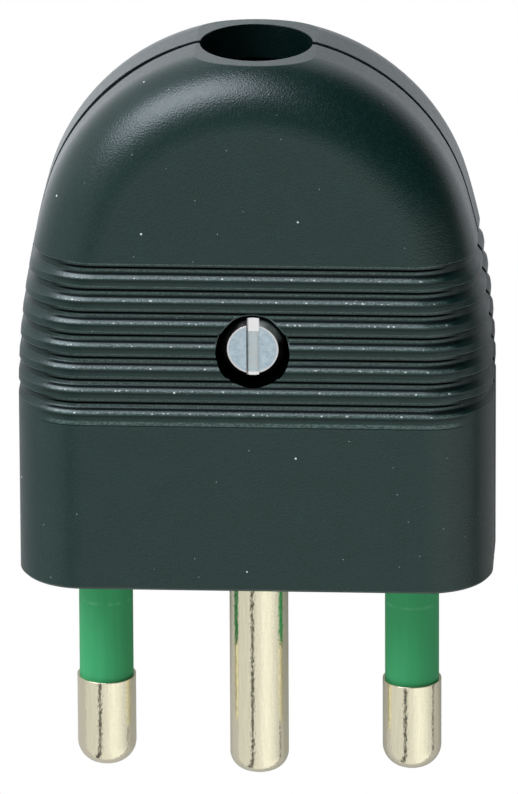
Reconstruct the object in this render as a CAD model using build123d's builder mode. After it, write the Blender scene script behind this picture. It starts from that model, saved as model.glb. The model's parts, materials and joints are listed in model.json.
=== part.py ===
from build123d import *

import os
from math import atan2, degrees, radians, sin, sqrt

# Grounded mains plug for rewiring: a housing of two moulded shells held by one
# screw, three round pins in a row, and the terminals and cord grip inside it.
# Millimetres. X runs along the pin row, Y from the pin face to the cable entry
# and Z out of the front face. The origin is the earth pin's axis where it leaves
# the pin face, on the plane where the two shells meet.

# Housing outline
BODY_WIDTH = 39.95
BODY_LENGTH = 45.9
BODY_DEPTH = 17.6
SIDE_LENGTH = 16.0
SHOULDER_INSET = 1.7
CROWN_CROP = 0.7
EDGE_RADIUS = 5.5
PIN_FACE_CHAMFER = 0.25

# Walls, and the seam between the shells
WALL = 1.9
PIN_WALL = 2.4
ENTRY_WALL = 3.0
SEAM_GAP = 0.7
SEAM_DEPTH = 0.85
TONGUE_WIDTH = 0.7
TONGUE_HEIGHT = 0.8
TONGUE_CLEARANCE = 0.1

# Grip grooves round the housing: a square upper wall, a floor and a sloping lower flank
GROOVE_COUNT = 7
GROOVE_PITCH = 2.0
GROOVE_START = 17.2
GROOVE_WIDTH = 1.28
GROOVE_FLANK = 0.48
GROOVE_DEPTH = 0.38

# Pins and their insulating sleeves
PIN_SPACING = 13.0
PIN_DIAMETER = 5.0
LINE_PIN_LENGTH = 19.0
EARTH_PIN_LENGTH = 19.45
LINE_TIP_RADIUS = 2.0
EARTH_TIP_RADIUS = 1.6
STEM_DIAMETER = 3.2
SLEEVE_DIAMETER = 4.6
SLEEVE_LENGTH = 11.0
COLLAR_DIAMETER = 5.5
SLIP_CLEARANCE = 0.05

# Terminal heads on the inner ends of the pins, and the cradles that hold them
HEAD_WIDTH = 7.0
HEAD_LENGTH = 9.0
HEAD_CHAMFER = 0.4
WIRE_HOLE_DIAMETER = 3.2
WIRE_HOLE_DEPTH = 7.0
TERMINAL_SCREW_SETBACK = 3.5
CRADLE_CHEEK = 1.2
CRADLE_STOP = 1.2
CRADLE_DROP = 0.2
CRADLE_CLEARANCE = 0.1
HOLD_DOWN_LENGTH = 2.6
PARTITION_THICKNESS = 1.2

# Screws: all have the same thread, and cheese heads with a slot
THREAD_DIAMETER = 3.0
THREAD_CLEARANCE = 0.05
SHANK_HOLE_DIAMETER = 3.4
SLOT_DEPTH = 0.7
HEAD_EDGE = 0.2
SHANK_EDGE = 0.2
TERMINAL_SCREW_HEAD = 4.8
TERMINAL_SCREW_HEAD_HEIGHT = 1.4
TERMINAL_SCREW_LENGTH = 4.0
TERMINAL_SLOT_WIDTH = 0.8

# Housing screw, and the threaded insert that it pulls on
HOUSING_SCREW_Y = 21.65
HOUSING_SCREW_HEAD = 5.15
HOUSING_SCREW_HEAD_HEIGHT = 2.4
HOUSING_SCREW_HEAD_EDGE = 0.42
HOUSING_SCREW_LENGTH = 10.0
HOUSING_SCREW_RECESS = 0.5
HOUSING_SLOT_WIDTH = 1.05
SCREW_WELL_DIAMETER = 6.1
SCREW_BOSS_WALL = 1.4
INSERT_DIAMETER = 4.8
INSERT_LENGTH = 5.0
INSERT_SINK = 0.6
INSERT_GROOVE_DEPTH = 0.3
INSERT_GROOVE_LENGTH = 1.0
INSERT_BOSS_WALL = 1.5

# Cable entry and cord grip
CABLE_HOLE_DIAMETER = 9.46
CLAMP_SETBACK = 9.35
CLAMP_SCREW_SPACING = 16.0
CLAMP_SEAT = 1.2
CLAMP_WIDTH = 5.0
CLAMP_END = 3.0
CLAMP_THICKNESS = 2.2
CLAMP_BOSS_DIAMETER = 6.0
CLAMP_BOSS_FLOOR = 1.2
CLAMP_SCREW_HEAD = 5.0
CLAMP_SCREW_HEAD_HEIGHT = 1.5
CLAMP_SCREW_LENGTH = 8.0
CLAMP_SLOT_WIDTH = 0.9
GRIP_RIDGE_WIDTH = 1.0
GRIP_RIDGE_HEIGHT = 0.7
GRIP_RIDGE_SPACING = 2.5

# Places and radii that follow from the sizes above
HALF_WIDTH = BODY_WIDTH / 2
HALF_DEPTH = BODY_DEPTH / 2
CROWN_RADIUS = HALF_WIDTH - SHOULDER_INSET
CROWN_Y = BODY_LENGTH + CROWN_CROP - CROWN_RADIUS
CROWN_RISE = CROWN_Y - SIDE_LENGTH
SHOULDER_RADIUS = (HALF_WIDTH**2 + CROWN_RISE**2 - CROWN_RADIUS**2) / (2 * SHOULDER_INSET)
SHOULDER_X = HALF_WIDTH - SHOULDER_RADIUS
SHOULDER_ANGLE = degrees(atan2(CROWN_RISE, -SHOULDER_X))
CROWN_START_Y = CROWN_Y + CROWN_RADIUS * sin(radians(SHOULDER_ANGLE))
CAVITY_TOP = BODY_LENGTH - ENTRY_WALL
LINE_PINS = {"live": -PIN_SPACING, "neutral": PIN_SPACING}
ALL_PINS = {**LINE_PINS, "earth": 0.0}
HEAD_CENTRE_Y = PIN_WALL + HEAD_LENGTH / 2
HEAD_END_Y = PIN_WALL + HEAD_LENGTH
CRADLE_END_Y = HEAD_END_Y + CRADLE_CLEARANCE + CRADLE_STOP
CRADLE_TOP = -WIRE_HOLE_DIAMETER / 2 - CRADLE_DROP
TERMINAL_SCREW_Y = HEAD_END_Y - TERMINAL_SCREW_SETBACK
HOUSING_SCREW_SEAT = HALF_DEPTH - HOUSING_SCREW_RECESS - HOUSING_SCREW_HEAD_HEIGHT
CLAMP_Y = BODY_LENGTH - CLAMP_SETBACK
CLAMP_XS = {"left": -CLAMP_SCREW_SPACING / 2, "right": CLAMP_SCREW_SPACING / 2}
CLAMP_FLOOR = -(HALF_DEPTH - WALL) + CLAMP_BOSS_FLOOR

FRONT = 1
REAR = -1
BOTTOM_UP = (Align.CENTER, Align.CENTER, Align.MIN)
TOP_DOWN = (Align.CENTER, Align.CENTER, Align.MAX)


def seam_plane(side):
    """The plane where the shells meet, facing out of one of them."""
    return Plane((0, 0, 0), x_dir=(side, 0, 0), z_dir=(0, 0, side))


def half_width_at(y):
    """Half the housing's width on the seam, at a distance from the pin face."""
    if y <= SIDE_LENGTH:
        return HALF_WIDTH
    if y <= CROWN_START_Y:
        return SHOULDER_X + sqrt(SHOULDER_RADIUS**2 - (y - SIDE_LENGTH) ** 2)
    return sqrt(CROWN_RADIUS**2 - (y - CROWN_Y) ** 2)


def outline(side, inset):
    """Straight sides, long shoulders and a round crown, drawn in by an inset."""
    half = HALF_WIDTH - inset
    foot = -2 * EDGE_RADIUS
    with BuildSketch(seam_plane(side)) as profile:
        with BuildLine():
            Line((-half, foot), (half, foot))
            Line((half, foot), (half, SIDE_LENGTH))
            CenterArc((SHOULDER_X, SIDE_LENGTH), SHOULDER_RADIUS - inset, 0, SHOULDER_ANGLE)
            CenterArc((0, CROWN_Y), CROWN_RADIUS - inset, SHOULDER_ANGLE, 180 - 2 * SHOULDER_ANGLE)
            CenterArc((-SHOULDER_X, SIDE_LENGTH), SHOULDER_RADIUS - inset, 180, -SHOULDER_ANGLE)
            Line((-half, SIDE_LENGTH), (-half, foot))
        make_face()
    return profile.sketch


def outer_rim(half, side):
    """The edges round the outer face of a half, without the one beyond its foot."""
    outer_face = half.faces().sort_by(Axis((0, 0, 0), (0, 0, side)))[-1]
    return outer_face.edges().sort_by(Axis.Y)[1:]


def cut_square(low, high):
    """Cuts the form being built square at both ends."""
    with Locations((0, (low + high) / 2, 0)):
        Box(2 * BODY_WIDTH, high - low, 2 * BODY_DEPTH, mode=Mode.INTERSECT)


def housing_half(side):
    """One half of the housing's outer form, with a round outer edge."""
    with BuildPart() as half:
        extrude(outline(side, 0), amount=HALF_DEPTH)
        fillet(outer_rim(half, side), EDGE_RADIUS)
        cut_square(0, BODY_LENGTH)
    return half.part


def chamber(side, growth):
    """One half of the space inside the housing, grown into the walls, with a bevelled outer edge."""
    inset = WALL - growth
    with BuildPart() as space:
        extrude(outline(side, inset), amount=HALF_DEPTH - inset)
        chamfer(outer_rim(space, side), (EDGE_RADIUS - inset) * (2 - sqrt(2)))
        cut_square(PIN_WALL - growth, CAVITY_TOP + growth)
    return space.part


def rim_ring(growth, height):
    """A low ring that stands on the seam, along the inner side of the wall."""
    with BuildPart() as ring:
        add(chamber(FRONT, growth))
        add(chamber(FRONT, 0), mode=Mode.SUBTRACT)
        Box(2 * BODY_WIDTH, 4 * BODY_LENGTH, 2 * height, mode=Mode.INTERSECT)
    return ring.part


def seam_band(side):
    """The thin band that the outer rim lacks, so that the seam shows as a narrow gap."""
    with BuildPart() as core:
        extrude(outline(side, SEAM_DEPTH), amount=SEAM_GAP)
        cut_square(SEAM_DEPTH, BODY_LENGTH - SEAM_DEPTH)
    with BuildPart() as band:
        extrude(outline(side, -SEAM_DEPTH), amount=SEAM_GAP / 2)
        add(core.part, mode=Mode.SUBTRACT)
    return band.part


def groove_cutters(side):
    """Cutters that follow the housing's section from one side to the other."""
    with BuildPart() as cutters:
        for index in range(GROOVE_COUNT):
            upper_edge = GROOVE_START + index * GROOVE_PITCH
            reach = half_width_at(upper_edge - GROOVE_WIDTH / 2)
            section = Plane((0, upper_edge, 0), x_dir=(1, 0, 0), z_dir=(0, -1, 0))
            with BuildLine(section) as path:
                FilletPolyline(
                    (reach, -GROOVE_DEPTH),
                    (reach, HALF_DEPTH),
                    (-reach, HALF_DEPTH),
                    (-reach, -GROOVE_DEPTH),
                    radius=EDGE_RADIUS,
                )
            with BuildSketch(Plane(path.line @ 0)):
                with BuildLine():
                    Polyline(
                        (GROOVE_DEPTH, 0),
                        (-GROOVE_DEPTH, 0),
                        (-GROOVE_DEPTH, GROOVE_FLANK - GROOVE_WIDTH),
                        (GROOVE_DEPTH, -GROOVE_FLANK - GROOVE_WIDTH),
                        close=True,
                    )
                make_face()
            sweep(path=path.line)
        if side == REAR:
            mirror(about=Plane.XY, mode=Mode.REPLACE)
    return cutters.part


def pin_passages():
    """The holes in the pin face: two for sleeves and one for the earth pin's collar."""
    with BuildPart() as passages:
        for name, x in ALL_PINS.items():
            diameter = COLLAR_DIAMETER if name == "earth" else SLEEVE_DIAMETER
            with BuildSketch(Plane.XZ.offset(PIN_WALL)):
                with Locations((x, 0)):
                    Circle(diameter / 2 + SLIP_CLEARANCE)
            extrude(amount=-3 * PIN_WALL)
    return passages.part


def cable_passage():
    """The round hole through which the cable enters."""
    with BuildPart() as passage:
        with BuildSketch(Plane.XZ.offset(-CAVITY_TOP + ENTRY_WALL)):
            Circle(CABLE_HOLE_DIAMETER / 2)
        extrude(amount=-3 * ENTRY_WALL)
    return passage.part


def head_pockets():
    """Room for the terminal heads, in the cradles and in the walls beside them."""
    with BuildPart() as pockets:
        with Locations(*[(x, HEAD_CENTRE_Y + CRADLE_CLEARANCE / 2, 0) for x in ALL_PINS.values()]):
            Box(HEAD_WIDTH + 2 * CRADLE_CLEARANCE, HEAD_LENGTH + CRADLE_CLEARANCE, HEAD_WIDTH)
    return pockets.part


def pin_face_rim(shell, side):
    """The edges round the pin face of a shell, without the one on the seam."""
    pin_face = shell.faces().sort_by(Axis.Y)[0]
    return pin_face.edges().sort_by(Axis((0, 0, 0), (0, 0, side)))[1:]


os.makedirs("parts", exist_ok=True)

# Front fittings: screw boss, partitions between the terminals, and hold-downs
with BuildPart() as front_fittings:
    with Locations((0, HOUSING_SCREW_Y, 0)):
        Cylinder(SCREW_WELL_DIAMETER / 2 + SCREW_BOSS_WALL, HALF_DEPTH, align=BOTTOM_UP)
    with Locations((-PIN_SPACING / 2, CRADLE_END_Y / 2, 0), (PIN_SPACING / 2, CRADLE_END_Y / 2, 0)):
        Box(PARTITION_THICKNESS, CRADLE_END_Y, HALF_DEPTH, align=BOTTOM_UP)
    with Locations(*[(x, (PIN_WALL + HOLD_DOWN_LENGTH) / 2, HEAD_WIDTH / 2) for x in ALL_PINS.values()]):
        Box(HEAD_WIDTH, PIN_WALL + HOLD_DOWN_LENGTH, HALF_DEPTH, align=BOTTOM_UP)
    add(chamber(FRONT, WALL / 2), mode=Mode.INTERSECT)

# Front shell
with BuildPart() as front_shell:
    add(housing_half(FRONT))
    chamfer(pin_face_rim(front_shell, FRONT), PIN_FACE_CHAMFER)
    add(groove_cutters(FRONT), mode=Mode.SUBTRACT)
    add(chamber(FRONT, 0), mode=Mode.SUBTRACT)
    add(front_fittings.part)
    add(rim_ring(TONGUE_WIDTH + TONGUE_CLEARANCE, TONGUE_HEIGHT + TONGUE_CLEARANCE), mode=Mode.SUBTRACT)
    add(seam_band(FRONT), mode=Mode.SUBTRACT)
    add(head_pockets(), mode=Mode.SUBTRACT)
    add(pin_passages(), mode=Mode.SUBTRACT)
    add(cable_passage(), mode=Mode.SUBTRACT)
    with Locations((0, HOUSING_SCREW_Y, HALF_DEPTH)):
        CounterBoreHole(
            radius=SHANK_HOLE_DIAMETER / 2,
            counter_bore_radius=SCREW_WELL_DIAMETER / 2,
            counter_bore_depth=HALF_DEPTH - HOUSING_SCREW_SEAT,
        )
front_shell.part.label = "front_shell"
export_step(front_shell.part, "parts/front_shell.step")

# Rear fittings: insert boss, partitions, terminal cradles and cord saddle
with BuildPart() as rear_fittings:
    with Locations((0, HOUSING_SCREW_Y, 0)):
        Cylinder(INSERT_DIAMETER / 2 + INSERT_BOSS_WALL, HALF_DEPTH, align=TOP_DOWN)
    with Locations((-PIN_SPACING / 2, CRADLE_END_Y / 2, 0), (PIN_SPACING / 2, CRADLE_END_Y / 2, 0)):
        Box(PARTITION_THICKNESS, CRADLE_END_Y, HALF_DEPTH, align=TOP_DOWN)
    with Locations(*[(x, CRADLE_END_Y / 2, CRADLE_TOP) for x in ALL_PINS.values()]):
        Box(HEAD_WIDTH + 2 * CRADLE_CHEEK, CRADLE_END_Y, HALF_DEPTH, align=TOP_DOWN)
    with Locations((0, CLAMP_Y, -CABLE_HOLE_DIAMETER / 2)):
        with GridLocations(0, GRIP_RIDGE_SPACING, 1, 2):
            Box(CABLE_HOLE_DIAMETER, GRIP_RIDGE_WIDTH, HALF_DEPTH, align=TOP_DOWN)
    add(chamber(REAR, WALL / 2), mode=Mode.INTERSECT)

# Rear shell
with BuildPart() as rear_shell:
    add(housing_half(REAR))
    chamfer(pin_face_rim(rear_shell, REAR), PIN_FACE_CHAMFER)
    add(groove_cutters(REAR), mode=Mode.SUBTRACT)
    add(chamber(REAR, 0), mode=Mode.SUBTRACT)
    add(rear_fittings.part)
    with Locations(*[(x, CLAMP_Y, CLAMP_SEAT) for x in CLAMP_XS.values()]):
        Cylinder(CLAMP_BOSS_DIAMETER / 2, CLAMP_SEAT + HALF_DEPTH - WALL / 2, align=TOP_DOWN)
    add(seam_band(REAR), mode=Mode.SUBTRACT)
    add(rim_ring(TONGUE_WIDTH, TONGUE_HEIGHT))
    add(head_pockets(), mode=Mode.SUBTRACT)
    add(pin_passages(), mode=Mode.SUBTRACT)
    add(cable_passage(), mode=Mode.SUBTRACT)
    with Locations((0, HOUSING_SCREW_Y, 0)):
        Hole(INSERT_DIAMETER / 2 + SLIP_CLEARANCE, depth=INSERT_SINK + INSERT_LENGTH)
    with Locations(*[(x, CLAMP_Y, CLAMP_SEAT) for x in CLAMP_XS.values()]):
        Hole(THREAD_DIAMETER / 2, depth=CLAMP_SEAT - CLAMP_FLOOR)
rear_shell.part.label = "rear_shell"
export_step(rear_shell.part, "parts/rear_shell.step")


def terminal_head(x):
    """The square head inside the housing: a wire goes in from behind and a screw holds it."""
    with BuildPart() as head:
        with Locations((x, HEAD_CENTRE_Y, 0)):
            Box(HEAD_WIDTH, HEAD_LENGTH, HEAD_WIDTH)
        chamfer(head.edges().filter_by(Axis.Y), HEAD_CHAMFER)
        with BuildSketch(Plane.XZ.offset(-HEAD_END_Y)):
            with Locations((x, 0)):
                Circle(WIRE_HOLE_DIAMETER / 2)
        extrude(amount=WIRE_HOLE_DEPTH, mode=Mode.SUBTRACT)
        with Locations((x, TERMINAL_SCREW_Y, HEAD_WIDTH / 2)):
            Hole(THREAD_DIAMETER / 2, depth=HEAD_WIDTH / 2)
    return head.part


# Line pins, each with a thin stem inside its sleeve
for name, x in LINE_PINS.items():
    with BuildPart() as line_pin:
        with BuildSketch():
            with BuildLine():
                Polyline(
                    (x, -LINE_PIN_LENGTH),
                    (x + PIN_DIAMETER / 2, -LINE_PIN_LENGTH),
                    (x + PIN_DIAMETER / 2, -SLEEVE_LENGTH),
                    (x + STEM_DIAMETER / 2, -SLEEVE_LENGTH),
                    (x + STEM_DIAMETER / 2, PIN_WALL),
                    (x, PIN_WALL),
                    close=True,
                )
            make_face()
        revolve(axis=Axis((x, 0, 0), (0, 1, 0)))
        fillet(line_pin.edges().sort_by(Axis.Y)[0], LINE_TIP_RADIUS)
        add(terminal_head(x))
    line_pin.part.label = f"{name}_pin"
    export_step(line_pin.part, f"parts/{name}_pin.step")

# Sleeves, from the metal tip to the terminal head
for name, x in LINE_PINS.items():
    with BuildPart() as sleeve:
        with BuildSketch(Plane.XZ.offset(SLEEVE_LENGTH)):
            with Locations((x, 0)):
                Circle(SLEEVE_DIAMETER / 2)
                Circle(STEM_DIAMETER / 2 + SLIP_CLEARANCE, mode=Mode.SUBTRACT)
        extrude(amount=-(SLEEVE_LENGTH + PIN_WALL))
    sleeve.part.label = f"{name}_sleeve"
    export_step(sleeve.part, f"parts/{name}_sleeve.step")

# Earth pin, bare metal, with a collar where it passes through the pin face
with BuildPart() as earth_pin:
    with BuildSketch():
        with BuildLine():
            Polyline(
                (0, -EARTH_PIN_LENGTH),
                (PIN_DIAMETER / 2, -EARTH_PIN_LENGTH),
                (PIN_DIAMETER / 2, 0),
                (COLLAR_DIAMETER / 2, 0),
                (COLLAR_DIAMETER / 2, PIN_WALL),
                (0, PIN_WALL),
                close=True,
            )
        make_face()
    revolve(axis=Axis.Y)
    fillet(earth_pin.edges().sort_by(Axis.Y)[0], EARTH_TIP_RADIUS)
    add(terminal_head(0))
earth_pin.part.label = "earth_pin"
export_step(earth_pin.part, "parts/earth_pin.step")


def slotted_screw(place, head_diameter, head_height, head_edge, length, slot_width):
    """A cheese-head screw that points down from its seat, with its slot along Y."""
    with BuildPart() as screw:
        with Locations(place):
            Cylinder(head_diameter / 2, head_height, align=BOTTOM_UP)
        chamfer(screw.edges().sort_by(Axis.Z)[-1], head_edge)
        with Locations((place[0], place[1], place[2] + head_height)):
            Box(slot_width, 2 * head_diameter, 2 * SLOT_DEPTH, mode=Mode.SUBTRACT)
        with Locations(place):
            Cylinder(THREAD_DIAMETER / 2 - THREAD_CLEARANCE, length, align=TOP_DOWN)
        chamfer(screw.edges().sort_by(Axis.Z)[0], SHANK_EDGE)
    return screw.part


# Terminal screws
for name, x in ALL_PINS.items():
    with BuildPart() as terminal_screw:
        add(
            slotted_screw(
                (x, TERMINAL_SCREW_Y, HEAD_WIDTH / 2),
                TERMINAL_SCREW_HEAD,
                TERMINAL_SCREW_HEAD_HEIGHT,
                HEAD_EDGE,
                TERMINAL_SCREW_LENGTH,
                TERMINAL_SLOT_WIDTH,
            )
        )
    terminal_screw.part.label = f"{name}_terminal_screw"
    export_step(terminal_screw.part, f"parts/{name}_terminal_screw.step")

# Housing screw
with BuildPart() as housing_screw:
    add(
        slotted_screw(
            (0, HOUSING_SCREW_Y, HOUSING_SCREW_SEAT),
            HOUSING_SCREW_HEAD,
            HOUSING_SCREW_HEAD_HEIGHT,
            HOUSING_SCREW_HEAD_EDGE,
            HOUSING_SCREW_LENGTH,
            HOUSING_SLOT_WIDTH,
        )
    )
housing_screw.part.label = "housing_screw"
export_step(housing_screw.part, "parts/housing_screw.step")

# Threaded insert, grooved round the middle so that the boss holds it
with BuildPart() as threaded_insert:
    with Locations((0, HOUSING_SCREW_Y, -INSERT_SINK)):
        Cylinder(INSERT_DIAMETER / 2, INSERT_LENGTH, align=TOP_DOWN)
    with BuildSketch(Plane.XY.offset(-INSERT_SINK - INSERT_LENGTH / 2)):
        with Locations((0, HOUSING_SCREW_Y)):
            Circle(INSERT_DIAMETER / 2)
            Circle(INSERT_DIAMETER / 2 - INSERT_GROOVE_DEPTH, mode=Mode.SUBTRACT)
    extrude(amount=INSERT_GROOVE_LENGTH / 2, both=True, mode=Mode.SUBTRACT)
    with Locations((0, HOUSING_SCREW_Y, -INSERT_SINK)):
        Hole(THREAD_DIAMETER / 2)
threaded_insert.part.label = "threaded_insert"
export_step(threaded_insert.part, "parts/threaded_insert.step")

# Cord clamp: a round-ended bar with two grip ridges below it
with BuildPart() as cord_clamp:
    with BuildSketch(Plane.XY.offset(CLAMP_SEAT)):
        with Locations((0, CLAMP_Y)):
            SlotCenterToCenter(CLAMP_SCREW_SPACING + 2 * CLAMP_END - CLAMP_WIDTH, CLAMP_WIDTH)
    extrude(amount=CLAMP_THICKNESS)
    with Locations((0, CLAMP_Y, CLAMP_SEAT)):
        with GridLocations(0, GRIP_RIDGE_SPACING, 1, 2):
            Box(CABLE_HOLE_DIAMETER, GRIP_RIDGE_WIDTH, GRIP_RIDGE_HEIGHT, align=TOP_DOWN)
    with Locations(*[(x, CLAMP_Y, CLAMP_SEAT + CLAMP_THICKNESS) for x in CLAMP_XS.values()]):
        Hole(SHANK_HOLE_DIAMETER / 2)
cord_clamp.part.label = "cord_clamp"
export_step(cord_clamp.part, "parts/cord_clamp.step")

# Clamp screws
for name, x in CLAMP_XS.items():
    with BuildPart() as clamp_screw:
        add(
            slotted_screw(
                (x, CLAMP_Y, CLAMP_SEAT + CLAMP_THICKNESS),
                CLAMP_SCREW_HEAD,
                CLAMP_SCREW_HEAD_HEIGHT,
                HEAD_EDGE,
                CLAMP_SCREW_LENGTH,
                CLAMP_SLOT_WIDTH,
            )
        )
    clamp_screw.part.label = f"{name}_clamp_screw"
    export_step(clamp_screw.part, f"parts/{name}_clamp_screw.step")
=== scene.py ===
import json
from math import cos, radians, sin

import bpy
from mathutils import Color, Matrix, Vector


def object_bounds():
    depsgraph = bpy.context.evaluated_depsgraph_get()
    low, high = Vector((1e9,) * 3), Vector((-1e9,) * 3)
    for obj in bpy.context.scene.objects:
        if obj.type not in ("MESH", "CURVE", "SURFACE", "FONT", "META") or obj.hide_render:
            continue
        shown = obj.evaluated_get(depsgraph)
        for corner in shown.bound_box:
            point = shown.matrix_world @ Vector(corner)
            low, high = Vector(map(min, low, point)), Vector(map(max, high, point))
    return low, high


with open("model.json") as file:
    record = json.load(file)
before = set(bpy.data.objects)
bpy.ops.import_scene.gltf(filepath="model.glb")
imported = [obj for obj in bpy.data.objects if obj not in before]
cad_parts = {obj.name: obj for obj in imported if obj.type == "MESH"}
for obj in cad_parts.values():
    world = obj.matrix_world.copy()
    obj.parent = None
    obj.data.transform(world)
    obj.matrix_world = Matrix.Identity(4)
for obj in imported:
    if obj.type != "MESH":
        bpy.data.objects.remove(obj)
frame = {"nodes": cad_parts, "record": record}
cad_low, cad_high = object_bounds()

# The scene is in metres, in the frame of the solids: X along the pin row, Y from the
# pin face to the cable entry and Z out of the front face. The part's materials count in millimetres.
MM = 0.001
FULL_BYTE = 255


def linear(red, green, blue):
    """A colour given in 8-bit display values, as linear light."""
    share = Color((red, green, blue)) / FULL_BYTE
    return (*share.from_srgb_to_scene_linear(), 1.0)


# Camera: a long lens that looks down on the front face, from the side of the cable entry. Its aim
# is moved a little to the right and up in the picture.
CAMERA_ELEVATION = radians(20.7)
CAMERA_YAW = radians(2.95)
CAMERA_ROLL = radians(-0.27)
CAMERA_DISTANCE = 1100 * MM
CAMERA_AIM = Vector((0, 13.5, 0)) * MM
AIM_RIGHT = 0.081 * MM
AIM_UP = 0.699 * MM
LENS = 591.0
SENSOR = 36.0

# Stage: a floor that shows as white. It shines in the crown of the housing too, more so at the
# left, and is a duller grey in the gloss elsewhere. The white sheet ends out of the picture, at
# the upper right.
FLOOR_SIZE = 4.0
FLOOR_DROP = 0.02 * MM
FLOOR_WHITE = (0.96, 0.96, 0.96, 1.0)
FLOOR_DULL = (0.45, 0.45, 0.45, 1.0)
FLOOR_DARK = (0.05, 0.05, 0.05, 1.0)
FLOOR_ROUGHNESS = 0.9
WHITE = (1.0, 1.0, 1.0, 1.0)
COOL_WHITE = (0.94, 0.95, 1.0, 1.0)
FLOOR_GLOW = 0.84
SHINE_ALONG = (15 * MM, 35 * MM)
LEFT_GLOW = 0.5
LEFT_GLOW_ACROSS = (8 * MM, -8 * MM)
LEFT_GLOW_REACH = (38 * MM, 29 * MM)
CROWN_MIDDLE = 24 * MM
SHEET_END_TOWARDS = (0.78, 0.63, 0)
SHEET_END = (44 * MM, 66 * MM)

# Lamps: a softbox at the upper left, and two low ones on the side of the pins, which don't show in
# the gloss
LAMP_DISTANCE = 0.7
LAMPS = {
    "key": {
        "towards": (-0.46, 0.77, 0.45),
        "size": (0.60, 0.46),
        "power": 5.8,
        "color": (0.93, 0.90, 1.0),
        "in_gloss": True,
    },
    "right fill": {
        "towards": (0.85, -0.40, 0.35),
        "size": (0.5, 0.5),
        "power": 0.8,
        "color": (1.0, 1.0, 1.0),
        "in_gloss": False,
    },
    "fill": {
        "towards": (-0.35, -0.85, 0.40),
        "size": (0.5, 0.5),
        "power": 3.3,
        "color": (1.0, 1.0, 1.0),
        "in_gloss": False,
    },
}

# Light level of the studio from its left to its right side, beyond the pins and beyond the
# cable entry. The narrow dark stretch is the gap between two panels above the pins.
PIN_SIDE_LEVELS = (
    (-1.0, 0.64), (-0.47, 0.70),
    (-0.43, 0.08), (-0.31, 0.08),
    (-0.27, 0.72), (0.1, 0.80), (0.3, 0.96), (0.6, 0.96), (0.8, 0.82), (1.0, 0.5),
)
CABLE_SIDE_LEVELS = ((-1.0, 0.7), (-0.3, 0.25), (0.0, 0.1), (0.3, 0.03), (0.6, 0.0))
SIDES_MEET = (-0.25, -0.08)

# Noises: their scale is about the number of grains in a millimetre along X, Y and Z. Most of
# their values lie in the span.
NOISE_SPAN = (0.3, 0.7)
CLOUDS = {"scale": (0.35, 0.35, 0.35), "detail": 3}
MOTTLE = {"scale": (2.4, 2.4, 2.4), "detail": 4, "roughness": 0.7}
GRAIN = {"scale": (7.0, 7.0, 7.0), "detail": 0}
STIPPLE = {"scale": (9.0, 9.0, 9.0), "detail": 1}
DOTS = {"scale": (4.5, 7.0, 7.0), "detail": 1}
SLEEVE_STREAKS = {"scale": (1.5, 0.12, 1.5), "detail": 3}
SLEEVE_GRAIN = {"scale": (4.0, 2.0, 4.0), "detail": 3}
NICKEL_STREAKS = {"scale": (5.0, 0.4, 5.0), "detail": 4, "roughness": 0.6}
NICKEL_PITS = {"scale": (6.0, 4.0, 6.0), "detail": 0}
ZINC_SPOTS = {"scale": (1.8, 1.8, 1.8), "detail": 4, "roughness": 0.6}
BRASS_RINGS = {"scale": (0.3, 0.3, 5.0), "detail": 3}
CLAMP_MOTTLE = {"scale": (2.0, 2.0, 2.0), "detail": 4}

# Specks: how many lie along a millimetre, and their radius in millimetres. The core is the share
# of the radius up to which a speck is full.
# Glints are painted highlights on the grooves, and the others are dust
PAINTED_GLINTS = (2.4, 0.11)
SMALL_DUST = (0.7, 0.06)
LARGE_DUST = (0.34, 0.11)
SPECK_CORE = 0.7

# Edges and recesses: the rays for each point, the cosines of the turn that shows an edge, the radius
# of the soft edges, and how far a recess reaches and how open it is where the painted shade in it
# ends. Lengths are in millimetres.
TRACE_SAMPLES = 4
EDGE_TURN = (0.85, 0.995)
PLASTIC_EDGE = 0.12
NICKEL_EDGE = 0.12
ZINC_EDGE = 0.08
RECESS_REACH = 0.8
RECESS_OPEN = (0.68, 0.86)

# Bumps: their strength, and their depth in millimetres
PLASTIC_BUMP = (0.7, 0.024)
SLEEVE_BUMP = (0.15, 0.03)
NICKEL_BUMP = (0.7, 0.014)
ZINC_BUMP = (0.4, 0.05)

# Housing plastic: the colours of the plain plastic and of what lies on it, which is dust, painted
# highlights and painted shade
PLASTIC_COLORS = (linear(5, 33, 28), linear(9, 37, 32))
STIPPLE_COLOR = linear(25, 54, 49)
MOTTLE_COLOR = linear(33, 60, 56)
EDGE_HIGHLIGHT_COLOR = linear(90, 106, 106)
GROOVE_HIGHLIGHT_COLOR = linear(80, 101, 95)
PAINTED_GLINT_COLOR = linear(184, 194, 194)
SMALL_DUST_COLOR = linear(120, 132, 132)
LARGE_DUST_COLOR = linear(196, 204, 204)
PAINTED_SHADE_COLOR = linear(1, 3, 3)
BORE_SHADE_COLOR = linear(0, 20, 17)
PLASTIC_ROUGHNESS = (0.29, 0.37)
PLASTIC_SPECULAR = 0.63
PLASTIC_TINT = (0.88, 1.0, 1.0, 1.0)

# Housing plastic: from which to which value of a noise its share grows, and the shares there
STIPPLE_SHARE = (0.48, 0.76, 0.0, 0.7)
MOTTLE_SHARE = (0.55, 0.85, 0.0, 0.5)
GROOVE_HIGHLIGHT_SHARE = (0.36, 0.64, 0.3, 1.6)

# Edges carry a painted highlight from this height above the pin face, in millimetres
EDGE_HIGHLIGHT_ABOVE = (1.0, 3.0)
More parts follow.
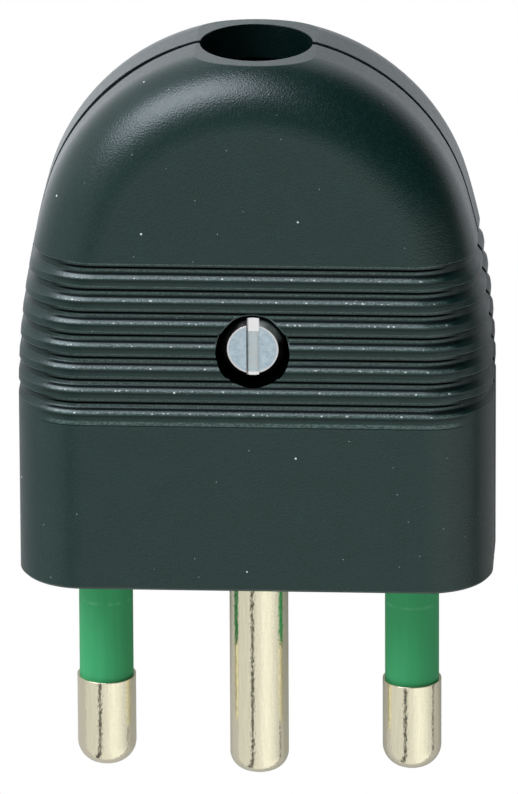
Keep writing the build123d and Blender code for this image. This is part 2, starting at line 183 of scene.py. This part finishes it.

# Lines of painted shade and painted highlights along the grip grooves of both faces, in millimetres:
# where the topmost groove's lines begin, their pitch, which is a little longer than that of the grooves
# themselves, and the tone of the plastic from there down to the next groove. A tone of 0 is painted
# shade, black, 0.5 is plain and 1 is a light painted highlight. The lightest tones carry painted glints.
GROOVE_TOP = 29.18
GROOVE_PITCH = 2.013
GROOVE_PAINTED_LIGHT = (
    (0.0, 0.76), (0.2, 0.72),
    (0.3, 0.05), (0.42, 0.05),
    (0.55, 0.77), (0.67, 0.77),
    (0.82, 0.13), (0.95, 0.13),
    (1.07, 0.7), (1.14, 0.85), (1.22, 0.85), (1.32, 0.5),
    (1.44, 0.27), (1.62, 0.4), (1.86, 0.5), (1.96, 0.76),
)
PAINTED_SHADE_TONES = (0.0, 0.5)
PAINTED_HIGHLIGHT_TONES = (0.5, 1.0)
PAINTED_GLINT_TONES = (0.76, 0.84)

# How far below the top the lines start and stop, how they fade there, and how far out of the seam
# plane the face carries the painted shade and the painted highlights, in millimetres
GROOVES_BELOW = (-0.16, 14.36)
GROOVES_FADE = 0.08
PAINTED_GROOVE_FACE = (7.2, 8.0)
HIGHLIGHT_FACE_SPAN = (7.9, 8.4)

# The screw well on the front face, in millimetres: the radius where the grooves' painted lines end, and
# that of the disc of painted shade in it, which lies a little nearer to the pins
SCREW_WELL = 3.14
WELL_SHADE = 3.12
WELL_SHADE_DROP = 0.28

# The wall of the cable entry, painted dark as shade, in millimetres: how far the painted shade passes
# the bore's radius, and its depth
BORE_LIP = 0.06
BORE_DEPTH = 12.0

# The lip of the seam, painted dark as shade, in millimetres: its height, and where it starts and is full
SEAM_LIP = 1.0
SEAM_LIP_ACROSS = (-2.0, -12.0)
SEAM_LIP_ALONG = (26.0, 33.0)

# Sleeves: green plastic with a faint scuffed ring. The ring's place along Y, and how far from it
# the ring fades, are in millimetres.
SLEEVE_COLORS = (linear(54, 147, 93), linear(60, 155, 100))
SLEEVE_STREAK_SPAN = (0.2, 0.8)
SLEEVE_ROUGHNESS = (0.48, 0.6)
SLEEVE_SPECULAR = 0.15
RING_COLOR = linear(140, 200, 160)
RING_PLACE = -3.9
RING_EDGE = (0.05, 0.2)
RING_SHARE = 0.16
RING_STREAKS = (0.45, 0.6)

# Nickel of the pins
NICKEL_COLORS = (linear(246, 240, 210), linear(254, 248, 220))
NICKEL_ROUGHNESS = (0.10, 0.20)

# Zinc of the screws
ZINC_SPOT_SPAN = (0.35, 0.65)
ZINC_COLORS = (linear(192, 216, 230), linear(226, 244, 252))
ZINC_ROUGHNESS = (0.34, 0.48)

# The housing screw, in millimetres: half the width of its slot, how far out along Y the painted
# highlights at the slot's ends begin, and where the painted highlight on the rim of the head begins.
# The slot is painted lighter than the head, against the shade in it.
SLOT_HALF_WIDTH = 0.52
SLOT_ENDS = (-2.25, 1.35)
HEAD_RIM_HIGHLIGHT = (1.96, 2.06)
SLOT_LIT_COLORS = (linear(226, 247, 252), linear(247, 255, 255))
SLOT_END_GLOSS = 0.3

# The screw heads: which Z of its normal makes a face a top one, and the sides, painted dark as shade
# with a painted highlight at the upper right. Light from the left leaves the left side of the slot in
# painted shade, within a reach in millimetres.
TOP_FACES = (0.7, 0.95)
SIDE_SHADE_AND_HIGHLIGHT = (linear(14, 16, 17), linear(232, 240, 234))
SIDE_LIT_TOWARDS = (0.54, 0.84, 0)
SIDE_LIT_SPAN = (0.5, 0.66)
LEFT_LIGHT = (-0.8, 0, 0.6)
SHADE_COLOR = linear(6, 8, 8)
SHADE_REACH = 0.2
SHADE_OPEN = (0.4, 0.7)

# Brass of the insert
BRASS_COLORS = (linear(196, 160, 84), linear(222, 188, 112))
BRASS_ROUGHNESS = (0.22, 0.36)

# Plastic of the cord clamp
CLAMP_COLORS = (linear(38, 42, 42), linear(52, 57, 57))
CLAMP_ROUGHNESS = (0.45, 0.6)


def middle_of(name):
    """The middle of a node, in millimetres."""
    corners = [Vector(corner) / MM for corner in frame["nodes"][name].bound_box]
    return sum(corners, Vector()) / len(corners)


class Tree:
    """A short way to write shader nodes."""

    def __init__(self, owner):
        owner.use_nodes = True
        self.nodes = owner.node_tree.nodes
        self.links = owner.node_tree.links

    def add(self, kind, settings=None, **inputs):
        """Adds a node. Inputs are named with underscores for spaces, and take values or sockets."""
        node = self.nodes.new(kind)
        for key, value in (settings or {}).items():
            setattr(node, key, value)
        for key, value in inputs.items():
            self.feed(node.inputs[key.replace("_", " ")], value)
        return node

    def feed(self, socket, value):
        if isinstance(value, bpy.types.NodeSocket):
            self.links.new(value, socket)
        else:
            socket.default_value = value

    def math(self, operation, first, second=0.0):
        node = self.add("ShaderNodeMath", {"operation": operation})
        self.feed(node.inputs[0], first)
        self.feed(node.inputs[1], second)
        return node.outputs[0]

    def product(self, *factors):
        """The product of two or more values."""
        result = factors[0]
        for factor in factors[1:]:
            result = self.math("MULTIPLY", result, factor)
        return result

    def dot(self, first, second):
        """How far a vector points along another one."""
        node = self.add("ShaderNodeVectorMath", {"operation": "DOT_PRODUCT"})
        self.feed(node.inputs[0], first)
        self.feed(node.inputs[1], second)
        return node.outputs["Value"]

    def axes(self, vector):
        """The X, Y and Z of a vector."""
        return self.add("ShaderNodeSeparateXYZ", Vector=vector).outputs

    def spread(self, value, low, high, to_low=0.0, to_high=1.0):
        """Maps a value from one range to another, with the ends clamped."""
        node = self.add("ShaderNodeMapRange", Value=value)
        node.inputs["From Min"].default_value = low
        node.inputs["From Max"].default_value = high
        node.inputs["To Min"].default_value = to_low
        node.inputs["To Max"].default_value = to_high
        return node.outputs["Result"]

    def levels(self, value, stops, low=-1.0, high=1.0):
        """A grey level that follows a value from low to high through a list of stops."""
        node = self.add("ShaderNodeValToRGB", Fac=self.spread(value, low, high))
        elements = node.color_ramp.elements
        while len(elements) < len(stops):
            elements.new(1.0)
        for element, (place, level) in zip(elements, stops):
            element.position = (place - low) / (high - low)
            element.color = (level, level, level, 1)
        return node.outputs["Color"]

    def blend(self, factor, first, second):
        """A colour between two others."""
        node = self.add("ShaderNodeMix", {"data_type": "RGBA"})
        self.feed(node.inputs["Factor"], factor)
        first_color, second_color = [socket for socket in node.inputs if socket.type == "RGBA"]
        self.feed(first_color, first)
        self.feed(second_color, second)
        return next(socket for socket in node.outputs if socket.type == "RGBA")


class Surface(Tree):
    """A material with one principled shader. Its methods count in millimetres."""

    def __init__(self, name):
        self.material = bpy.data.materials.new(name)
        super().__init__(self.material)
        self.shader = self.nodes["Principled BSDF"]
        self.output = self.nodes["Material Output"]

    def set(self, **inputs):
        for key, value in inputs.items():
            self.feed(self.shader.inputs[key.replace("_", " ")], value)

    def place(self, scale):
        """The point on the surface in millimetres, times a scale along each axis."""
        coordinates = self.add("ShaderNodeTexCoord")
        mapping = self.add("ShaderNodeMapping", Vector=coordinates.outputs["Object"])
        mapping.inputs["Scale"].default_value = [value / MM for value in scale]
        return mapping.outputs["Vector"]

    def spot(self):
        """The X, Y and Z of the point on the surface, in millimetres."""
        return self.axes(self.place((1, 1, 1)))

    def normal(self):
        """The direction that the surface faces."""
        return self.add("ShaderNodeNewGeometry").outputs["Normal"]

    def noise(self, scale, detail, roughness=0.5):
        node = self.add("ShaderNodeTexNoise", Vector=self.place(scale), Scale=1.0, Detail=detail)
        node.inputs["Roughness"].default_value = roughness
        return node.outputs["Fac"]

    def specks(self, per_mm, radius):
        """A mask of scattered specks: 1 within a radius of a random point."""
        cells = self.add("ShaderNodeTexVoronoi", Vector=self.place((per_mm, per_mm, per_mm)), Scale=1.0)
        edge = radius * per_mm
        return self.spread(cells.outputs["Distance"], SPECK_CORE * edge, edge, 1.0, 0.0)

    def open_share(self, reach, low, high, towards=None):
        """How open the surface is to its surroundings within a reach: 0 in a recess, 1 in the open."""
        node = self.add("ShaderNodeAmbientOcclusion", {"samples": TRACE_SAMPLES})
        node.inputs["Distance"].default_value = reach * MM
        if towards is not None:
            way = self.add("ShaderNodeCombineXYZ", X=towards[0], Y=towards[1], Z=towards[2])
            self.feed(node.inputs["Normal"], way.outputs["Vector"])
        return self.spread(node.outputs["AO"], low, high)

    def soft_edges(self, radius):
        """A normal that turns round every edge."""
        node = self.add("ShaderNodeBevel", {"samples": TRACE_SAMPLES}, Radius=radius * MM)
        return node.outputs["Normal"]

    def edge_mask(self, turned):
        """1 along the edges, where the turned normal leaves the surface's own."""
        return self.spread(self.dot(turned, self.normal()), *EDGE_TURN, 1.0, 0.0)

    def bump(self, height, strength, depth, normal=None):
        node = self.add("ShaderNodeBump", Height=height, Strength=strength, Distance=depth * MM)
        if normal is not None:
            self.feed(node.inputs["Normal"], normal)
        return node.outputs["Normal"]

    def from_axis(self, first, second):
        """The distance of a point from an axis, out of its distances along two directions square to it."""
        squares = [self.math("POWER", distance, 2.0) for distance in (first, second)]
        return self.math("SQRT", self.math("ADD", *squares))

    def from_screw(self):
        """The distances of a point from the housing screw's axis, along X and Y."""
        middle = middle_of("housing_screw")
        spot = self.spot()
        return self.math("SUBTRACT", spot["X"], middle.x), self.math("SUBTRACT", spot["Y"], middle.y)

    def off_screw(self, radius, drop=0.0):
        """0 on the front shell within a radius of the housing screw, or of a point nearer to the pins."""
        aside, ahead = self.from_screw()
        outside = self.math("GREATER_THAN", self.from_axis(aside, self.math("ADD", ahead, drop)), radius)
        return self.math("MAXIMUM", outside, self.math("LESS_THAN", self.spot()["Z"], 0.0))

    def off_bore(self, name):
        """0 on the wall of a bore along Y, 1 elsewhere."""
        mount = next(mount for mount in frame["record"]["mounts"] if mount["name"] == name)
        centre = Vector(mount["pos_m"]) / MM
        spot = self.spot()
        across = self.math("SUBTRACT", spot["X"], centre.x)
        height = self.math("SUBTRACT", spot["Z"], centre.z)
        wall = mount["dims"]["r_mm"] + BORE_LIP
        outside = self.math("GREATER_THAN", self.from_axis(across, height), wall)
        return self.math("MAXIMUM", outside, self.math("LESS_THAN", spot["Y"], centre.y - BORE_DEPTH))

    def off_seam_shade(self):
        """0 where shade is painted on the front shell's lip along the seam, where it gapes at the upper
        left, 1 elsewhere.
        """
        spot = self.spot()
        at_left = self.spread(spot["X"], *SEAM_LIP_ACROSS)
        lip = self.product(at_left, self.spread(spot["Y"], *SEAM_LIP_ALONG), SEAM_LIP)
        above = self.math("GREATER_THAN", spot["Z"], lip)
        return self.math("MAXIMUM", above, self.math("LESS_THAN", spot["Z"], 0.0))

    def grooves(self):
        """The tone of the painted shade and painted highlights along the grip grooves, and the shares of the
        surface where it darkens and lightens.
        """
        spot = self.spot()
        below = self.math("SUBTRACT", GROOVE_TOP, spot["Y"])
        tone = self.levels(self.math("FLOORED_MODULO", below, GROOVE_PITCH), GROOVE_PAINTED_LIGHT, 0.0, GROOVE_PITCH)
        start, stop = GROOVES_BELOW
        begun = self.spread(below, start, start + GROOVES_FADE)
        ended = self.spread(below, stop, stop + GROOVES_FADE, 1.0, 0.0)
        outward = self.math("ABSOLUTE", spot["Z"])
        painted_face = self.product(self.spread(outward, *PAINTED_GROOVE_FACE), begun, ended, self.off_screw(SCREW_WELL))
        highlight_face_share = self.product(painted_face, self.spread(outward, *HIGHLIGHT_FACE_SPAN))
        return tone, painted_face, highlight_face_share


def unshaded_share(surface, painted_groove_tone, painted_grooves):
    """How free of painted shade the housing is: 0 in its recesses and in the dark lines of the grooves,
    where shade is painted.
    """
    groove_unshaded = surface.blend(painted_grooves, WHITE, surface.spread(painted_groove_tone, *PAINTED_SHADE_TONES))
    unshaded = surface.math("MAXIMUM", surface.open_share(RECESS_REACH, *RECESS_OPEN), painted_grooves)
    well = surface.off_screw(WELL_SHADE, WELL_SHADE_DROP)
    return surface.product(unshaded, surface.off_seam_shade(), well, groove_unshaded)


def highlit_tone(surface, tone, painted_groove_tone, highlight_face):
    """A tone of the housing, with painted highlights and painted glints on the light lines of the grooves.
    """
    lines = surface.product(highlight_face, surface.spread(painted_groove_tone, *PAINTED_HIGHLIGHT_TONES))
    painted_highlights = surface.product(lines, surface.spread(surface.noise(**DOTS), *GROOVE_HIGHLIGHT_SHARE))
    flanks = surface.product(highlight_face, surface.spread(painted_groove_tone, *PAINTED_GLINT_TONES))
    tone = surface.blend(painted_highlights, tone, GROOVE_HIGHLIGHT_COLOR)
    return surface.blend(surface.product(flanks, surface.specks(*PAINTED_GLINTS)), tone, PAINTED_GLINT_COLOR)


def housing_material():
    surface = Surface("moulded_housing")
    mottle = surface.noise(**MOTTLE)
    edges = surface.soft_edges(PLASTIC_EDGE)
    # Painted shade and painted highlights along the grip grooves
    painted_groove_tone, painted_grooves, highlight_face = surface.grooves()
    tone = surface.blend(surface.spread(surface.noise(**CLOUDS), *NOISE_SPAN), *PLASTIC_COLORS)
    tone = surface.blend(surface.spread(surface.noise(**STIPPLE), *STIPPLE_SHARE), tone, STIPPLE_COLOR)
    tone = surface.blend(surface.spread(mottle, *MOTTLE_SHARE), tone, MOTTLE_COLOR)
    # A painted highlight along the edges, from a little above the pin face
    highlit_edges = surface.math("SUBTRACT", surface.edge_mask(edges), painted_grooves)
    edge_highlight = surface.product(highlit_edges, surface.spread(surface.spot()["Y"], *EDGE_HIGHLIGHT_ABOVE))
    tone = surface.blend(surface.math("MAXIMUM", edge_highlight, 0.0), tone, EDGE_HIGHLIGHT_COLOR)
    tone = highlit_tone(surface, tone, painted_groove_tone, highlight_face)
    tone = surface.blend(surface.specks(*SMALL_DUST), tone, SMALL_DUST_COLOR)
    tone = surface.blend(surface.specks(*LARGE_DUST), tone, LARGE_DUST_COLOR)
    # Painted shade: black in the recesses, on the seam's lip, in the screw well and in the grooves' dark
    # lines
    unshaded = unshaded_share(surface, painted_groove_tone, painted_grooves)
    tone = surface.blend(unshaded, PAINTED_SHADE_COLOR, tone)
    # Painted shade on the wall of the cable entry
    tone = surface.blend(surface.off_bore("cable_entry"), BORE_SHADE_COLOR, tone)
    # Where shade is painted the plastic is also a black metal, so that it loses its gloss
    painted_shade = surface.math("SUBTRACT", 1.0, unshaded)
    dull = surface.math("MAXIMUM", surface.spread(mottle, *NOISE_SPAN, *PLASTIC_ROUGHNESS), painted_shade)
    surface.set(Base_Color=tone, Roughness=dull, Metallic=painted_shade)
    surface.set(Specular_IOR_Level=PLASTIC_SPECULAR, Specular_Tint=PLASTIC_TINT)
    surface.set(Normal=surface.bump(surface.noise(**GRAIN), *PLASTIC_BUMP, edges))
    return surface.material


def sleeve_material():
    surface = Surface("green_sleeve")
    streaks = surface.noise(**SLEEVE_STREAKS)
    tone = surface.blend(surface.spread(streaks, *SLEEVE_STREAK_SPAN), *SLEEVE_COLORS)
    off_ring = surface.math("ABSOLUTE", surface.math("SUBTRACT", surface.spot()["Y"], RING_PLACE))
    ring = surface.spread(off_ring, *RING_EDGE, RING_SHARE, 0.0)
    ring = surface.product(ring, surface.spread(streaks, *RING_STREAKS))
    tone = surface.blend(ring, tone, RING_COLOR)
    surface.set(Base_Color=tone, Roughness=surface.spread(streaks, *NOISE_SPAN, *SLEEVE_ROUGHNESS))
    surface.set(Specular_IOR_Level=SLEEVE_SPECULAR)
    surface.set(Normal=surface.bump(surface.noise(**SLEEVE_GRAIN), *SLEEVE_BUMP))
    return surface.material


def nickel_material():
    surface = Surface("nickel_plate")
    pits = surface.noise(**NICKEL_PITS)
    tone = surface.blend(surface.spread(surface.noise(**NICKEL_STREAKS), *NOISE_SPAN), *NICKEL_COLORS)
    dull = surface.spread(pits, *NOISE_SPAN, *NICKEL_ROUGHNESS)
    surface.set(Base_Color=tone, Metallic=1.0, Roughness=dull)
    surface.set(Normal=surface.bump(pits, *NICKEL_BUMP, surface.soft_edges(NICKEL_EDGE)))
    return surface.material


def zinc_material():
    surface = Surface("zinc_plate")
    spots = surface.noise(**ZINC_SPOTS)
    spotted = surface.spread(spots, *ZINC_SPOT_SPAN)
    aside, ahead = surface.from_screw()
    beside_slot = surface.math("GREATER_THAN", surface.math("ABSOLUTE", aside), SLOT_HALF_WIDTH)
    near_end = surface.math("LESS_THAN", ahead, SLOT_ENDS[0])
    far_end = surface.math("GREATER_THAN", ahead, SLOT_ENDS[1])
    in_slot = surface.math("SUBTRACT", 1.0, beside_slot)
    slot_end_highlight = surface.product(surface.math("MAXIMUM", near_end, far_end), in_slot)
    # The slot is painted lighter than the head against the shade in it, and its ends white as painted
    # highlights
    slot = surface.blend(slot_end_highlight, surface.blend(spotted, *SLOT_LIT_COLORS), WHITE)
    # A painted highlight on the rim of the head
    rim_highlight = surface.spread(surface.from_axis(aside, ahead), *HEAD_RIM_HIGHLIGHT)
    head = surface.blend(rim_highlight, surface.blend(spotted, *ZINC_COLORS), WHITE)
    # The sides: painted shade, with a painted highlight at the upper right
    lit = surface.spread(surface.dot(surface.normal(), SIDE_LIT_TOWARDS), *SIDE_LIT_SPAN)
    upright = surface.spread(surface.axes(surface.normal())["Z"], *TOP_FACES)
    tone = surface.blend(upright, surface.blend(lit, *SIDE_SHADE_AND_HIGHLIGHT), surface.blend(beside_slot, slot, head))
    # Painted shade on the left side of the slot
    tone = surface.blend(surface.open_share(SHADE_REACH, *SHADE_OPEN, LEFT_LIGHT), SHADE_COLOR, tone)
    gloss = surface.product(slot_end_highlight, SLOT_END_GLOSS)
    dull = surface.math("SUBTRACT", surface.spread(spots, *NOISE_SPAN, *ZINC_ROUGHNESS), gloss)
    surface.set(Base_Color=tone, Metallic=1.0, Roughness=dull)
    surface.set(Normal=surface.bump(spots, *ZINC_BUMP, surface.soft_edges(ZINC_EDGE)))
    return surface.material


def brass_material():
    surface = Surface("turned_brass")
    rings = surface.noise(**BRASS_RINGS)
    tone = surface.blend(surface.spread(rings, *NOISE_SPAN), *BRASS_COLORS)
    dull = surface.spread(rings, *NOISE_SPAN, *BRASS_ROUGHNESS)
    surface.set(Base_Color=tone, Metallic=1.0, Roughness=dull)
    return surface.material


def clamp_material():
    surface = Surface("moulded_clamp")
    mottle = surface.noise(**CLAMP_MOTTLE)
    tone = surface.blend(surface.spread(mottle, *NOISE_SPAN), *CLAMP_COLORS)
    surface.set(Base_Color=tone, Roughness=surface.spread(mottle, *NOISE_SPAN, *CLAMP_ROUGHNESS))
    return surface.material


MATERIALS = {
    "housing": housing_material(),
    "pin_metal": nickel_material(),
    "sleeve": sleeve_material(),
    "zinc_screw": zinc_material(),
    "insert": brass_material(),
    "clamp": clamp_material(),
}

for subpart in frame["record"]["subparts"]:
    node = frame["nodes"][subpart["node"]]
    for material_slot in node.material_slots:
        material_slot.material = MATERIALS[subpart["material_slot"]]


def add_camera():
    towards = Vector(
        (
            sin(CAMERA_YAW) * cos(CAMERA_ELEVATION),
            sin(CAMERA_ELEVATION),
            cos(CAMERA_YAW) * cos(CAMERA_ELEVATION),
        )
    )
    level_right = Vector((cos(CAMERA_YAW), 0, -sin(CAMERA_YAW)))
    right = Matrix.Rotation(CAMERA_ROLL, 3, towards) @ level_right
    up = towards.cross(right)
    data = bpy.data.cameras.new("camera")
    data.lens = LENS
    data.sensor_width = SENSOR
    camera = bpy.data.objects.new("camera", data)
    aim = CAMERA_AIM + AIM_RIGHT * right + AIM_UP * up
    turn = Matrix((right, up, towards)).transposed()
    camera.matrix_world = Matrix.Translation(aim + CAMERA_DISTANCE * towards) @ turn.to_4x4()
    bpy.context.scene.collection.objects.link(camera)
    bpy.context.scene.camera = camera


def add_lamp(name, towards, size, power, color, in_gloss):
    data = bpy.data.lights.new(name, "AREA")
    data.shape = "RECTANGLE"
    data.size, data.size_y = size
    data.energy = power
    data.color = color
    lamp = bpy.data.objects.new(name, data)
    direction = Vector(towards).normalized()
    lamp.location = CAMERA_AIM + LAMP_DISTANCE * direction
    lamp.rotation_euler = direction.to_track_quat("Z", "Y").to_euler()
    lamp.visible_glossy = in_gloss
    bpy.context.scene.collection.objects.link(lamp)


def floor_material():
    """White paper, in metres, which glows where the camera sees it and where the crown mirrors it."""
    surface = Surface("white_floor")
    spot = surface.add("ShaderNodeTexCoord").outputs["Object"]
    place = surface.axes(spot)
    rays = surface.add("ShaderNodeLightPath").outputs
    past_end = surface.spread(surface.dot(spot, SHEET_END_TOWARDS), *SHEET_END)
    sheet = surface.blend(rays["Is Glossy Ray"], FLOOR_WHITE, FLOOR_DULL)
    surface.set(Base_Color=surface.blend(past_end, sheet, FLOOR_DARK))
    surface.set(Roughness=FLOOR_ROUGHNESS, Specular_IOR_Level=0.0)
    at_left = surface.spread(place["X"], *LEFT_GLOW_ACROSS, 0.0, LEFT_GLOW)
    from_crown = surface.from_axis(place["X"], surface.math("SUBTRACT", place["Y"], CROWN_MIDDLE))
    extra = surface.product(rays["Is Glossy Ray"], at_left, surface.spread(from_crown, *LEFT_GLOW_REACH))
    glow = surface.add("ShaderNodeEmission", Color=surface.blend(rays["Is Camera Ray"], COOL_WHITE, WHITE))
    surface.feed(glow.inputs["Strength"], surface.math("ADD", 1.0, extra))
    shine = surface.math("SUBTRACT", surface.spread(place["Y"], *SHINE_ALONG), past_end)
    mirrored = surface.product(rays["Is Glossy Ray"], surface.math("MAXIMUM", shine, 0.0), FLOOR_GLOW)
    mix = surface.add("ShaderNodeMixShader", Fac=surface.math("MAXIMUM", rays["Is Camera Ray"], mirrored))
    surface.feed(mix.inputs[1], surface.shader.outputs[0])
    surface.feed(mix.inputs[2], glow.outputs[0])
    surface.feed(surface.output.inputs["Surface"], mix.outputs[0])
    return surface.material


def add_floor():
    """A floor just below the rear face."""
    half = FLOOR_SIZE / 2
    level = cad_low[2] - FLOOR_DROP
    mesh = bpy.data.meshes.new("floor")
    corners = [(-half, -half, level), (half, -half, level), (half, half, level), (-half, half, level)]
    mesh.from_pydata(corners, [], [(0, 1, 2, 3)])
    mesh.materials.append(floor_material())
    floor = bpy.data.objects.new("floor", mesh)
    bpy.context.scene.collection.objects.link(floor)


def add_studio():
    """Soft panels all round: bright beyond the pins, and dark at the right beyond the cable entry."""
    world = bpy.data.worlds.new("studio")
    bpy.context.scene.world = world
    tree = Tree(world)
    way = tree.axes(tree.add("ShaderNodeTexCoord").outputs["Generated"])
    pin_side = tree.levels(way["X"], PIN_SIDE_LEVELS)
    cable_side = tree.levels(way["X"], CABLE_SIDE_LEVELS)
    level = tree.blend(tree.spread(way["Y"], *SIDES_MEET), pin_side, cable_side)
    tree.feed(tree.nodes["Background"].inputs["Color"], level)


add_camera()
add_floor()
add_studio()
for name, lamp_settings in LAMPS.items():
    add_lamp(name, **lamp_settings)
bpy.context.scene.view_settings.view_transform = "Standard"
